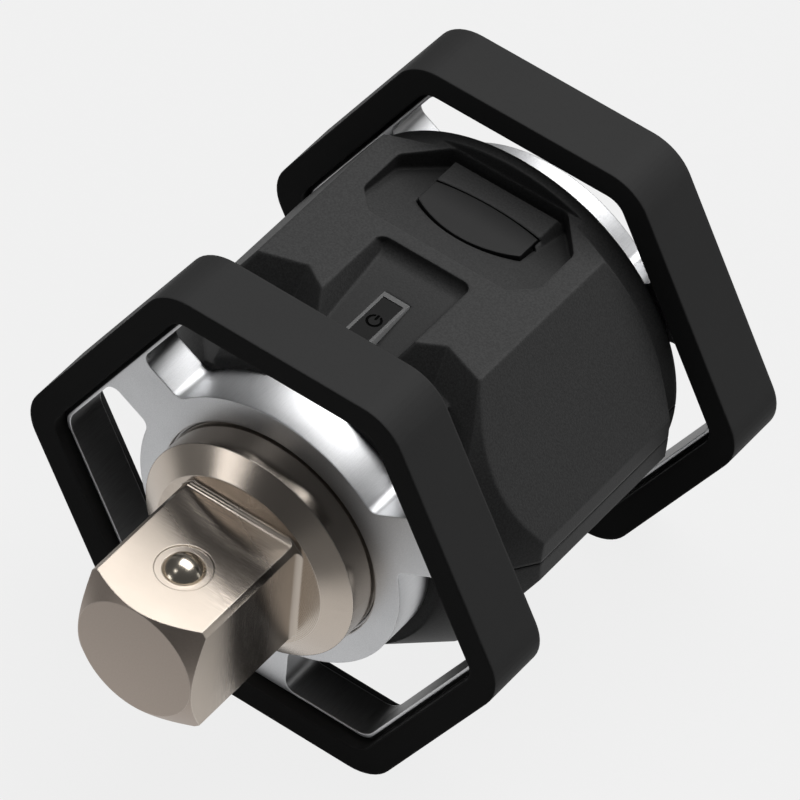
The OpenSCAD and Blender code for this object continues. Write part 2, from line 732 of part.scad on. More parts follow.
module recess(grow) {
    w = recess_half + grow;
    y0 = recess_y0 - grow;
    y1 = recess_y1 + grow;
    corners = [[recess_back_in - w, y1], [-w, y1 - recess_back_cut], [-w, y0 + recess_front_cut],
               [recess_front_cut - w, y0], [w - recess_front_cut, y0], [w, y0 + recess_front_cut],
               [w, y1 - recess_back_cut], [w - recess_back_in, y1]];
    last = len(corners) - 1;
    intersection() {
        linear_extrude(reach) polygon([for (i = [0:last])
            each round_corner(corners[i > 0 ? i - 1 : last], corners[i], corners[i < last ? i + 1 : 0],
                              recess_corner_r)]);
        translate([-reach, 0, 0]) rotate([90, 0, 90]) linear_extrude(2 * reach)
            polygon([[y0, panel_h - recess_shallow - grow], [y1, panel_h - recess_deep - grow],
                     [y1, reach], [y0, reach]]);
    }
}
// Plan of the cover, grown for the seat round it
module cover_plan(grow) {
    bow_r = (pad_half * pad_half + pad_bow * pad_bow) / (2 * pad_bow);
    intersection() {
        translate([-pad_half - grow, pad_y0 - grow]) square([2 * (pad_half + grow), reach]);
        translate([0, pad_y0 + bow_r]) circle(r = bow_r + grow);
    }
}
module pad() {
    low_z = seat_low_z - seat_wall;
    intersection() {
        block(recess_half, hinge_y, recess_y1, low_z, pad_z);
        translate([-reach, 0, 0]) rotate([90, 0, 90]) linear_extrude(2 * reach)
            polygon([[hinge_y, low_z], [recess_y1 + wall, low_z], [pad_y1, pad_z], [hinge_y, pad_z]]);
        along(hinge_y, recess_y1)
            polygon([[-pad_half - wall, low_z], [pad_half + wall, low_z],
                     [pad_half, pad_z], [-pad_half, pad_z]]);
    }
}
module lying(half, y, z, r) {
    translate([-half, y, z]) rotate([0, 90, 0]) cylinder(r = r, h = 2 * half);
}
// The rear half of a barrel round the hinge axis, thicker in its middle by the cover's bow
module bowed_barrel(half, r) {
    share = 1 / arc_steps;
    intersection() {
        translate([0, hinge_y, hinge_z]) rotate([0, 90, 0]) rotate_extrude()
            polygon(concat([[0, half], [0, -half]], [for (k = [-arc_steps:arc_steps])
                [r + cover_bow * (1 - pow(k * share, 2)), half * k * share]]));
        block(half, hinge_y, hinge_y + 2 * seat_r, seat_low_z - sliver, reach);
    }
}
module cover_seat() {
    intersection() {
        translate([0, 0, seat_z]) linear_extrude(reach) cover_plan(cover_gap);
        block(reach, 0, hinge_y, seat_z, reach);
    }
    lying(pad_half + cover_gap, hinge_y, hinge_z, seat_r);
    bowed_barrel(pad_half + cover_gap, seat_r);
}
module lugs(r, w, x) {
    for (side = [-1, 1]) translate([side * x, 0, 0]) {
        lying(w / 2, hinge_y, hinge_z, r);
        block(w / 2, hinge_y - r, hinge_y + r, seat_low_z - sliver, hinge_z);
    }
}
module port_well() {
    body_half = port_t / 2 + slip;
    plug_half = port_t / 2 - port_shell;
    block(port_w / 2 + slip, port_y - body_half, port_y + body_half, board_top, port_z + slip);
    block(port_w / 2 - port_shell, port_y - plug_half, port_y + plug_half, port_z, seat_z + overrun);
}
module screw_columns(r, z0, z1) {
    for (side = [-1, 1], y = screw_ys) upright(side * screw_x, y, z0, z1, r);
}
module board_columns(r, z0, z1) {
    for (side = [-1, 1], y = board_screw_ys) upright(side * board_screw_x, y, z0, z1, r);
}
module bearing_seats() {
    rod(collar_r + 2 * seal_r + slip, nose_y - overrun, back_y + overrun);
    rod(bush_r, inner_y0 - bush_len, inner_y0 + overrun);
    rod(bush_r, inner_y1 - overrun, inner_y1 + bush_len);
}
module gasket_strips() {
    y0 = nose_y + nose_len;
    for (side = [-1, 1]) translate([side * (cheek_h - wall / 2), 0, 0])
        block(gasket_w / 2, y0, tail_cone_y0, -gasket_w / 2, gasket_w / 2);
}
module shell() {
    difference() {
        union() {
            difference() {
                housing_form(0);
                cavity();
            }
            intersection() {
                housing_form(0);
                union() {
                    screw_columns(boss_r, -base_h, panel_h);
                    board_columns(wall, board_top, panel_h);
                }
            }
        }
        bearing_seats();
        gasket_strips();
        difference() {
            block(reach, nose_y - overrun, back_y + overrun, -seam_w / 2, seam_w / 2);
            housing_form(seam_depth);
        }
    }
}
module frame_hole(grow) {
    block(frame_w / 2 + grow, frame_y - frame_len / 2 - grow, frame_y + frame_len / 2 + grow,
          floor_z - wall - overrun, reach);
}
module upper_housing() {
    color([0.13, 0.13, 0.135]) difference() {
        union() {
            difference() {
                intersection() {
                    shell();
                    block(reach, 0, reach, 0, reach);
                }
                brows(0);
                pocket();
                recess(0);
            }
            difference() {
                pad();
                cover_seat();
            }
            intersection() {
                lugs(lug_r, lug_w, lug_x);
                block(reach, hinge_y - seat_r, hinge_y + seat_r, seat_low_z - sliver, pad_z);
            }
        }
        difference() {
            cover_seat();
            lugs(lug_r, lug_w, lug_x);
        }
        lying(pin_len / 2, hinge_y, hinge_z, pin_r);
        port_well();
        frame_hole(slip);
        screw_columns(screw_r, -overrun, screw_reach + slip);
        board_columns(board_screw_r, 0, board_top + board_screw_reach + slip);
    }
}
module lower_housing() {
    color([0.13, 0.13, 0.135]) difference() {
        intersection() {
            shell();
            block(reach, 0, reach, -reach, 0);
        }
        screw_columns(screw_r + slip, -reach, overrun);
        screw_columns(screw_head_r + slip, -reach, -screw_seat);
    }
}

// Button

key_half = frame_w / 2 - frame_rim - fit;
key_len_half = frame_len / 2 - frame_end - fit;
foot_z = floor_z - wall - fit - key_foot;
dome_h = button_travel + dome_skin;
switch_z = foot_z - fit - dome_h;

module power_sign() {
    ring_r = sign_w / 2 - sign_line / 2;
    difference() {
        circle(r = sign_w / 2);
        circle(r = sign_w / 2 - sign_line);
        polygon([[0, 0], [sign_w / 2, sign_w], [-sign_w / 2, sign_w]]);
    }
    translate([-sign_line / 2, sign_line]) square([sign_line, ring_r]);
}
module power_button() {
    color([0.2, 0.2, 0.21]) difference() {
        union() {
            block(key_half, frame_y - key_len_half, frame_y + key_len_half, foot_z, frame_z - key_drop);
            block(key_half + key_foot_step, frame_y - key_len_half - key_foot_step,
                  frame_y + key_len_half + key_foot_step, foot_z, foot_z + key_foot);
        }
        translate([0, frame_y, frame_z - key_drop - sign_depth])
            linear_extrude(overrun) power_sign();
    }
}
module button_frame() {
    y0 = frame_y - frame_len / 2;
    y1 = frame_y + frame_len / 2;
    low_z = floor_z - wall;
    edge_z = frame_z - frame_rim;
    color([0.82, 0.84, 0.86]) difference() {
        translate([-frame_w / 2, 0, 0]) rotate([90, 0, 90]) linear_extrude(frame_w)
            polygon([[y0, low_z], [y1, low_z], [y1, edge_z], [y1 - frame_rim / 2, frame_z],
                     [y0 + frame_rim / 2, frame_z], [y0, edge_z]]);
        block(key_half + fit, frame_y - key_len_half - fit, frame_y + key_len_half + fit,
              low_z - overrun, frame_z + overrun);
    }
}
module button_dome() {
    color([0.75, 0.75, 0.72]) translate([0, frame_y, switch_z]) difference() {
        cylinder(r1 = dome_w / 2, r2 = dome_w / 2 - key_foot, h = dome_h);
        translate([0, 0, -sliver])
            cylinder(r1 = dome_w / 2 - key_foot, r2 = dome_w / 2 - 2 * key_foot, h = dome_h - dome_skin);
    }
}
module button_switch() {
    color([0.3, 0.3, 0.32])
        block(switch_w / 2, frame_y - switch_w / 2, frame_y + switch_w / 2, board_top, switch_z);
}

// Port cover

module port_cover() {
    color([0.16, 0.16, 0.165]) difference() {
        intersection() {
            union() {
                intersection() {
                    translate([0, 0, cover_z]) linear_extrude(cover_t) cover_plan(0);
                    block(reach, 0, hinge_y, cover_z, pad_z);
                }
                lying(pad_half, hinge_y, hinge_z, barrel_r);
                intersection() {
                    bowed_barrel(pad_half, barrel_r);
                    block(reach, 0, reach, hinge_z, pad_z);
                }
            }
            block(reach, 0, reach, 0, pad_z);
        }
        lying(reach, hinge_y, hinge_z, pin_r + fit);
        for (side = [-1, 1]) translate([side * lug_x, 0, 0]) {
            lying(lug_w / 2 + slip, hinge_y, hinge_z, lug_r + slip);
            block(lug_w / 2 + slip, hinge_y - lug_r - slip, hinge_y + 2 * barrel_r,
                  hinge_z - 2 * barrel_r, hinge_z + lug_r + slip);
        }
    }
}
module hinge_pin() {
    color([0.7, 0.7, 0.72]) lying(pin_len / 2, hinge_y, hinge_z, pin_r);
}

// Electronics

module charging_port() {
    color([0.72, 0.72, 0.73]) {
        difference() {
            block(port_w / 2, port_y - port_t / 2, port_y + port_t / 2, board_top, port_z);
            block(port_w / 2 - port_shell, port_y - port_t / 2 + port_shell,
                  port_y + port_t / 2 - port_shell, board_top + port_shell, port_z + overrun);
        }
        block(port_w / 2 - 3 * port_shell, port_y - port_shell, port_y + port_shell,
              board_top + port_shell - sliver, port_z - port_shell);
    }
}
module main_board() {
    color([0.08, 0.3, 0.16]) difference() {
        block(board_half, board_y0, board_y1, board_z, board_top);
        board_columns(board_screw_r + slip, board_z - overrun, board_top + overrun);
    }
}
module radio_module() {
    color([0.7, 0.7, 0.7])
        translate([-part_x - radio_w / 2, part_y - radio_len, board_top])
            cube([radio_w, radio_len, radio_h]);
}
module buzzer() {
    color([0.1, 0.1, 0.1])
        upright(part_x, part_y - buzzer_d / 2, board_top, board_top + buzzer_h, buzzer_d / 2);
}
module status_light() {
    color([0.9, 0.9, 0.85]) {
        y = frame_y + frame_len / 2 + light_w;
        block(light_w / 2, y, y + light_w, board_top, board_top + light_w / 2);
        translate([0, y + light_w / 2, board_top]) cylinder(r = light_w / 2 - fit, h = light_w);
    }
}
module battery_tray() {
    half = cell_half + fit;
    y0 = cell_y - fit;
    y1 = cell_y + cell_len + fit;
    color([0.2, 0.2, 0.21]) difference() {
        block(half + tray_t, y0 - tray_t, y1 + tray_t, base_z, base_z + tray_t + cell_t / 2);
        block(half, y0, y1, base_z + tray_t, base_z + tray_t + cell_t);
    }
}
module battery_cell() {
    color([0.75, 0.77, 0.8])
        block(cell_half, cell_y, cell_y + cell_len, base_z + tray_t, base_z + tray_t + cell_t);
}
module strain_gauges() {
    y = (waist_y0 + waist_y1 - gauge_pitch - gauge_len) / 2;
    color([0.8, 0.6, 0.3]) for (up = [0, 1], next = [0, gauge_pitch]) mirror([0, 0, up])
        block(gauge_w / 2, y + next, y + next + gauge_len, gauge_z, gauge_z + gauge_t);
}
module gauge_lead() {
    y = (waist_y0 + waist_y1 + gauge_pitch + gauge_len) / 2 + fit;
    bend_y = y + lead_t;
    tab_y = bend_y + lead_t;
    color([0.75, 0.5, 0.2]) translate([-lead_w / 2, 0, 0]) rotate([90, 0, 90]) linear_extrude(lead_w)
        polygon([[y, gauge_z], [y, gauge_z + lead_t], [bend_y, gauge_z + lead_t], [bend_y, board_z],
                 [bend_y + lead_w, board_z], [bend_y + lead_w, board_z - lead_t], [tab_y, board_z - lead_t],
                 [tab_y, gauge_z]]);
}

// Seals, bushes, rings and screws

module bush() {
    rod_y1 = inner_y0;
    color([0.55, 0.45, 0.25]) difference() {
        rod(bush_r - fit, rod_y1 - bush_len, rod_y1);
        rod(collar_r + fit, rod_y1 - bush_len - overrun, rod_y1 + overrun);
    }
}
module seal() {
    color([0.05, 0.05, 0.05]) translate([0, nose_y + (end_wall - bush_len) / 2, 0]) rotate([90, 0, 0])
        rotate_extrude() translate([collar_r + fit + seal_r, 0]) circle(r = seal_r);
}
module retaining_ring(y0, y1) {
    color([0.25, 0.25, 0.27]) difference() {
        rod(collar_r + clip_proud, y0, y1);
        rod(groove_r + fit, y0 - overrun, y1 + overrun);
        block(clip_gap / 2, y0 - overrun, y1 + overrun, -reach, 0);
    }
}
module front_bush() {
    bush();
}
module rear_bush() {
    at_rear() bush();
}
module front_seal() {
    seal();
}
module rear_seal() {
    at_rear() seal();
}
module front_retaining_ring() {
    retaining_ring(clip_y0 + sliver, clip_y1 - sliver);
}
module rear_retaining_ring() {
    retaining_ring(rear_clip_y0 + sliver, rear_clip_y1 - sliver);
}
module seam_gasket() {
    color([0.06, 0.06, 0.06]) gasket_strips();
}
module housing_screws() {
    color([0.3, 0.3, 0.32]) {
        screw_columns(screw_r - sliver, -screw_seat - sliver, screw_reach);
        difference() {
            screw_columns(screw_head_r, -screw_seat - screw_head_h, -screw_seat);
            for (side = [-1, 1], y = screw_ys) translate([side * screw_x, y, -screw_seat - screw_head_h])
                cylinder(r = screw_r, h = screw_head_h, $fn = 6, center = true);
        }
    }
}
module board_screws() {
    color([0.6, 0.6, 0.62]) {
        board_columns(board_screw_r - sliver, board_z - sliver, board_top + board_screw_reach);
        board_columns(board_screw_head_r, board_z - board_screw_head_h, board_z);
    }
}

torque_shaft();
detent_ball();
detent_spring();
front_flange();
rear_flange();
front_bumper();
rear_bumper();
upper_housing();
lower_housing();
power_button();
button_frame();
button_dome();
port_cover();
hinge_pin();
charging_port();
main_board();
radio_module();
button_switch();
status_light();
buzzer();
battery_cell();
battery_tray();
strain_gauges();
gauge_lead();
front_bush();
rear_bush();
front_seal();
rear_seal();
front_retaining_ring();
rear_retaining_ring();
seam_gasket();
housing_screws();
board_screws();
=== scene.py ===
# %% [markdown]
# This lesson dresses a digital torque adapter: a steel shaft with a male square at one end and a
# female square at the other, two milled flanges in black hexagonal bumpers, and a black plastic
# housing with a power button and a hinged port cover. The solid parts come ready made, so the
# first cell only loads them and keeps their size, because the looks may not change it.

# %% Load the parts
import math

import bpy
import numpy as np
from mathutils import Matrix, Vector


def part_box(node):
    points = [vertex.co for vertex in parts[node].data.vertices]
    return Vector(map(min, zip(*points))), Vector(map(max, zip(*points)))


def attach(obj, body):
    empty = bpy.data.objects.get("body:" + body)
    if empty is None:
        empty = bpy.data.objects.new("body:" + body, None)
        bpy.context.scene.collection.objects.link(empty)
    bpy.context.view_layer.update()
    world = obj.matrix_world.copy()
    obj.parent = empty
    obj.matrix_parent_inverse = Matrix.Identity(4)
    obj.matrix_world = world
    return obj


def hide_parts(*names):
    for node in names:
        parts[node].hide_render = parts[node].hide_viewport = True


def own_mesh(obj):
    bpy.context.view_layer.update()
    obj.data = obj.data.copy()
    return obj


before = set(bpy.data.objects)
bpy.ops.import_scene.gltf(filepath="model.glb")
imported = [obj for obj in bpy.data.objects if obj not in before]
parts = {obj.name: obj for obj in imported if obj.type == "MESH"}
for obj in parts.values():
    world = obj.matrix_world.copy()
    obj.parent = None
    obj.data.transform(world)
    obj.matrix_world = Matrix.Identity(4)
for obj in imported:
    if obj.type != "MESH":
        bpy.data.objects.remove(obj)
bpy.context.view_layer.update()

# %% [markdown]
# The photograph was taken with a long lens from above and to the right of the drive. A long lens
# keeps parallel edges nearly parallel, so the two hexagons look almost the same size. The camera
# is set from its compass angle, its height angle, a small roll, its distance and the point it
# looks at. Writing the turning matrix out is clearer here than a Track To constraint, because
# the roll would need a second one.

# %% Place the camera
FRAME_PIXELS = 800
MM = 0.001
compass, height, roll = (math.radians(a) for a in (32.2182, 47.0882, 5.7089))
look_at = Vector((0.57, 58.68, 2.46)) * MM
distance = 1107.9 * MM
focal_pixels = 8094.78

away = Vector((math.sin(compass) * math.cos(height),
               -math.cos(compass) * math.cos(height),
               math.sin(height)))
level = Vector((math.cos(compass), math.sin(compass), 0))
upright = away.cross(level)
right = math.cos(roll) * level + math.sin(roll) * upright
up = -math.sin(roll) * level + math.cos(roll) * upright

lens = bpy.data.cameras.new("long_lens")
lens.sensor_width = 36
lens.lens = focal_pixels / FRAME_PIXELS * lens.sensor_width
lens.clip_end = 20
camera = bpy.data.objects.new("camera", lens)
bpy.context.scene.collection.objects.link(camera)
turn = Matrix((right, up, away)).transposed().to_4x4()
camera.matrix_world = Matrix.Translation(look_at + away * distance) @ turn
bpy.context.scene.camera = camera
print("focal length on a 36 mm sensor:", round(lens.lens, 1), "mm")

# %% [markdown]
# Every finish here is a recipe of nodes. Wiring hundreds of nodes by hand hides the idea, so two
# small classes do it. `Field` wraps a socket that carries a number over the surface and turns
# Python's + - * / into Math nodes. `Recipe` owns a tree of nodes, and its `add` method makes any
# other node from its type, its settings and its inputs. With them a recipe reads like a formula.

# %% Write shader maths as expressions
class Field:
    """A number that varies over a surface. Arithmetic on it adds Math nodes to its recipe."""

    def __init__(self, recipe, socket):
        self.recipe = recipe
        self.socket = socket

    def math(self, operation, *others):
        """Makes a Math node from this number and any others it needs."""
        values = dict(enumerate((self, *others)))
        return self.recipe.add("ShaderNodeMath", {"operation": operation}, values)

    def __add__(self, other):
        return self.math("ADD", other)

    __radd__ = __add__

    def __mul__(self, other):
        return self.math("MULTIPLY", other)

    __rmul__ = __mul__

    def __sub__(self, other):
        return self.math("SUBTRACT", other)

    def __rsub__(self, other):
        return self.recipe.add("ShaderNodeMath", {"operation": "SUBTRACT"}, {0: other, 1: self})

    def __truediv__(self, other):
        return self.math("DIVIDE", other)

    def __pow__(self, other):
        return self.math("POWER", other)

    def __abs__(self):
        return self.math("ABSOLUTE")

    def ramp(self, low, high, to_low=0.0, to_high=1.0):
        """Goes smoothly from to_low to to_high while the number goes from low to high."""
        return self.recipe.add("ShaderNodeMapRange", {"interpolation_type": "SMOOTHSTEP"},
                               {0: self, 1: low, 2: high, 3: to_low, 4: to_high})

    def fall(self, low, high):
        """Falls smoothly from 1 to 0 while the number goes from low to high."""
        return self.ramp(low, high, 1.0, 0.0)

    def into(self, node, key):
        """Links the number, colour or shader to an input of a node that is already there."""
        self.recipe.links.new(self.socket, node.inputs[key])


class Recipe:
    """A tree of nodes, and the only place where nodes are made."""

    def __init__(self, tree):
        self.nodes = tree.nodes
        self.links = tree.links

    def add(self, kind, settings=None, inputs=None, out=0):
        """Makes a node, applies its settings, fills or links its inputs; returns one output."""
        node = self.nodes.new(kind)
        for key, value in (settings or {}).items():
            setattr(node, key, value)
        for key, value in (inputs or {}).items():
            if isinstance(value, Field):
                self.links.new(value.socket, node.inputs[key])
            else:
                node.inputs[key].default_value = value
        return Field(self, node.outputs[out])


print("helpers made:", Field.__name__, "and", Recipe.__name__)

# %% [markdown]
# Real finishes share a few things: they are cloudy, they have a fine grain, their edges are
# rubbed, and a face looks different by the way it points. `Finish` is the recipe of one
# material, built on Blender's Principled shader, with a method for each of those things. The
# Bevel node does two jobs in it: it softens how light falls on the sharp edges of the solids,
# and it tells the recipe where they are. It changes no shape; the radii that show as a shape are
# in the solids themselves.

# %% Share noises and masks between finishes
# An edge counts as fully worn when the softened normal leans away by this much.
EDGE_LEAN = 0.12


class Finish(Recipe):
    """The recipe of one material, built on a Principled shader."""

    def __init__(self, name, **constants):
        self.material = bpy.data.materials.new(name)
        self.material.use_nodes = True
        super().__init__(self.material.node_tree)
        self.shader = self.nodes["Principled BSDF"]
        for socket, value in constants.items():
            self.shader.inputs[socket.replace("_", " ")].default_value = value
        self.place = self.add("ShaderNodeTexCoord", out="Object")

    def noise(self, size_mm, detail=3.0, rough=0.55, stretch=None):
        """Cloudy noise whose blotches are about size_mm across; stretch scales it per axis."""
        where = self.place
        if stretch:
            where = self.add("ShaderNodeMapping", {"vector_type": "POINT"},
                             {"Vector": where, "Scale": stretch})
        return self.add("ShaderNodeTexNoise", {"noise_dimensions": "3D"},
                        {"Vector": where, "Scale": 1.0 / (size_mm * MM),
                         "Detail": detail, "Roughness": rough})

    def grains(self, size_mm):
        """Cells about size_mm across, as a spark-eroded mould leaves: 0 in the middle of one."""
        return self.add("ShaderNodeTexVoronoi", {"feature": "F1"},
                        {"Vector": self.place, "Scale": 1.0 / (size_mm * MM)}, out="Distance")

    def axes(self):
        """The place on the piece as three numbers, in metres."""
        split = self.add("ShaderNodeSeparateXYZ", None, {0: self.place})
        return [Field(self, s) for s in split.socket.node.outputs]

    def leans(self, direction):
        """How far the surface's own normal leans towards a direction: 1 when it points there."""
        own = self.add("ShaderNodeNewGeometry", out="Normal")
        return self.add("ShaderNodeVectorMath", {"operation": "DOT_PRODUCT"},
                        {0: own, 1: direction}, out="Value")

    def edges(self, radius_mm, samples=6):
        """The softened normal, and a mask that is 0 on a flat and near 1 on an edge, where the
        surface's own normal leans away from the softened one."""
        soft = self.add("ShaderNodeBevel", {"samples": samples}, {"Radius": radius_mm * MM})
        return soft, (1 - self.leans(soft)).ramp(0.0, EDGE_LEAN)

    def tint(self, mask, low, high):
        """Mixes two colours, or two colour fields, by a number from 0 to 1."""
        return self.add("ShaderNodeMix", {"data_type": "RGBA"}, {0: mask, 6: low, 7: high}, out=2)

    def feed(self, socket, value):
        """Links a field to an input of the shader."""
        value.into(self.shader, socket)

    def emboss(self, height, strength, depth_mm, normal=None):
        """Raises the grain by depth_mm wherever the height is 1."""
        inputs = {"Height": height, "Strength": strength, "Distance": depth_mm * MM}
        if normal:
            inputs["Normal"] = normal
        self.feed("Normal", self.add("ShaderNodeBump", None, inputs))

    def dress(self, *names):
        """Gives this material to whole parts."""
        for name in names:
            mesh = parts[name].data
            mesh.materials.clear()
            mesh.materials.append(self.material)
        print(self.material.name, "has", len(self.nodes), "nodes and is on", ", ".join(names))


def shade(red, green=None, blue=None):
    """A colour as a shader wants it; one number gives a grey."""
    green = red if green is None else green
    blue = red if blue is None else blue
    return (red, green, blue, 1.0)


print("helper made:", Finish.__name__)

# %% [markdown]
# The bumpers are moulded from a firm black elastomer. Their skin is dead flat to the eye but has
# a very fine matt grain, and the corners that take knocks are rubbed a little shinier. A plain
# dark colour would look like a hole in the picture, so the grain goes into the bump, and large
# faint clouds go into the colour and the roughness. The faces towards the drive are duller than
# the rest, and darker towards the bottom.

# %% Bumper rubber
# Heights between which the front faces go from darkest to unshaded.
BUMPER_SHADED = (-20 * MM, 30 * MM)


def bumper_finish():
    rubber = Finish("bumper_rubber", Specular_IOR_Level=0.08)
    dark, light, shaded, rubbed = shade(0.023), shade(0.037), shade(0.01), shade(0.06)
    soft, wear_and_highlight_edge = rubber.edges(0.55)
    clouds = rubber.noise(14, detail=4)
    speck = rubber.noise(0.22, detail=2)
    front = rubber.leans((0.0, -1.0, 0.0)).ramp(0.9, 0.98)
    z = rubber.axes()[2]
    base = rubber.tint((clouds + speck) / 2.0, dark, light)
    base = rubber.tint(front * z.ramp(*BUMPER_SHADED, 0.5, 0.0), base, shaded)
    rubber.feed("Base Color", rubber.tint(wear_and_highlight_edge * 0.3, base, rubbed))
    rubber.feed("Roughness", 0.5 + clouds * 0.12 + speck * 0.06 + front * 0.3 - wear_and_highlight_edge * 0.1)
    rubber.emboss(speck, 0.25, 0.04, soft)
    rubber.dress("front_bumper", "rear_bumper")


bumper_finish()

# %% [markdown]
# The housing is moulded in a spark-eroded tool, which leaves a fine leathery grain that scatters
# light, so its panels look dark grey where they face a lamp and nearly black where they face
# away. Two sizes of grain are laid over each other: cells 0.3 mm across and finer noise between
# them. The bump stays shallow so that the panels keep their crisp edges. The floors of the
# pocket and the recess carry painted shade: where the surface looks up and lies lower than the
# panel, its colour is darkened.

# %% Housing plastic
# Painted shade on the floors is full below the first height, and none above the second.
PAINTED_SHADE_FLOORS = (22.5 * MM, 26.2 * MM)


def housing_finish():
    plastic = Finish("housing_plastic", Specular_IOR_Level=0.15)
    dark, light, painted_shade, rubbed = shade(0.024), shade(0.048), shade(0.014), shade(0.12)
    soft, wear_and_highlight_edge = plastic.edges(0.8)
    clouds = plastic.noise(18, detail=5)
    cells = plastic.grains(0.3)
    speck = plastic.noise(0.12, detail=2)
    grain = plastic.noise(0.3, detail=3, rough=0.7)
    z = plastic.axes()[2]
    # Painted shade: up-facing floors that lie lower than the panel are darkened.
    painted_shade_mask = z.fall(*PAINTED_SHADE_FLOORS) * plastic.leans((0.0, 0.0, 1.0)).ramp(0.85, 0.95)
    base = plastic.tint((clouds + grain.ramp(0.3, 0.7) * 2.0) / 3.0, dark, light)
    base = plastic.tint(painted_shade_mask * 0.75, base, painted_shade)
    plastic.feed("Base Color", plastic.tint(wear_and_highlight_edge * 0.22, base, rubbed))
    plastic.feed("Roughness", 0.52 + clouds * 0.1 - wear_and_highlight_edge * 0.08)
    plastic.emboss(cells * 0.6 + speck * 0.4, 0.5, 0.05, soft)
    plastic.dress("upper_housing", "lower_housing")


housing_finish()

# %% [markdown]
# The port cover and the key are smaller mouldings from smoother tools, so they carry a deeper
# black with less grain. The key's power sign is a shallow groove in the solid. Paint is put into
# that groove by the recipe itself: a ring is where the distance from the sign's middle is near
# its radius, with a slot cut in the ring and a bar set in the slot.

# %% Cover and key plastic
def cover_finish():
    plastic = Finish("cover_plastic", Specular_IOR_Level=0.1)
    dark, light, rubbed = shade(0.015), shade(0.02), shade(0.05)
    soft, wear_and_highlight_edge = plastic.edges(0.4)
    clouds = plastic.noise(5, detail=4)
    speck = plastic.noise(0.1, detail=2)
    base = plastic.tint(clouds, dark, light)
    plastic.feed("Base Color", plastic.tint(wear_and_highlight_edge * 0.4, base, rubbed))
    plastic.feed("Roughness", 0.34 + clouds * 0.08)
    plastic.emboss(speck, 0.2, 0.03, soft)
    plastic.dress("port_cover")


# The paint begins between these two heights, so only the key's top face takes it.
KEY_FACE = (23.5 * MM, 23.6 * MM)
# The sign, in millimetres; each pair is where a soft border begins and ends.
SIGN_MIDDLE = (0.0, 51.1)
SIGN_RADIUS = 0.99
SIGN_LINE = (0.17, 0.22)
SIGN_SLOT = (0.32, 0.38)
SIGN_SLOT_FOOT = (0.2, 0.25)
SIGN_BAR_FOOT = (0.15, 0.2)
SIGN_BAR_HEAD = (1.2, 1.25)


def key_finish():
    plastic = Finish("key_plastic", Specular_IOR_Level=0.05)
    dark, light, paint = shade(0.011), shade(0.016), shade(0.001)
    soft, _ = plastic.edges(0.15)
    x, y, z = plastic.axes()
    across = x / MM - SIGN_MIDDLE[0]
    ahead = y / MM - SIGN_MIDDLE[1]
    reach = (across * across + ahead * ahead) ** 0.5
    ring = abs(reach - SIGN_RADIUS).fall(*SIGN_LINE)
    slot = abs(across).fall(*SIGN_SLOT) * ahead.ramp(*SIGN_SLOT_FOOT)
    bar = abs(across).fall(*SIGN_LINE) * ahead.ramp(*SIGN_BAR_FOOT) * ahead.fall(*SIGN_BAR_HEAD)
    sign = (ring * (1 - slot)).math("MAXIMUM", bar) * z.ramp(*KEY_FACE)
    clouds = plastic.noise(3, detail=4)
    plastic.feed("Base Color", plastic.tint(sign, plastic.tint(clouds, dark, light), paint))
    plastic.feed("Roughness", 0.4 + clouds * 0.15 + sign * 0.4)
    plastic.emboss(plastic.noise(0.08), 0.15, 0.02, soft)
    plastic.dress("power_button")


cover_finish()
key_finish()

# %% [markdown]
# Round the key sits a pale frame that glows when the tool is on. It is a smoky clear moulding, so
# at rest its face is a middle grey with fine lines along it. Its edges are lightened by a painted
# highlight, and its upright sides are painted nearly white as a painted highlight. Coat gives
# those sides their clear skin.

# %% Button frame
def frame_finish():
    smoky = Finish("frame_silver", Specular_IOR_Level=0.2, Coat_Roughness=0.1)
    dark, light, painted_highlight_rim, painted_highlight_side = shade(0.06), shade(0.1), shade(0.3), shade(0.7)
    soft, wear_and_highlight_edge = smoky.edges(0.05)
    lines = smoky.noise(0.25, detail=3, stretch=(4, 0.3, 4))
    side = abs(smoky.leans((1.0, 0.0, 0.0))).ramp(0.5, 0.9)
    # Painted highlight: the edges are lightened and the upright sides are painted nearly white.
    face = smoky.tint(wear_and_highlight_edge, smoky.tint(lines, dark, light), painted_highlight_rim)
    smoky.feed("Base Color", smoky.tint(side, face, painted_highlight_side))
    smoky.feed("Roughness", 0.3 + lines * 0.14)
    smoky.feed("Coat Weight", 0.04 + side * 0.4)
    smoky.emboss(lines, 0.1, 0.02, soft)
    smoky.dress("button_frame")


frame_finish()

# %% [markdown]
# The flanges are milled from aluminium plate and then blasted with fine beads, which gives the
# faces an even, sparkling grey. The walls of the windows and the hub were left as the cutter made
# them, brighter, with faint lines along the tool's axis. The two finishes share one recipe, and
# the direction of the surface decides between them: a face whose normal points along the axis is
# blasted, and any other is a milled wall. The windows' outer walls are nearly black in the
# photograph, so the wall's colour falls to a dark grey with the distance from the axis: a painted
# reflection of the black rubber beside them.

# %% Milled aluminium
# Distances from the axis between which a wall goes from bright to the dark grey of the painted
# reflection.
OUTER_WALL_MM = (25.5, 28.5)


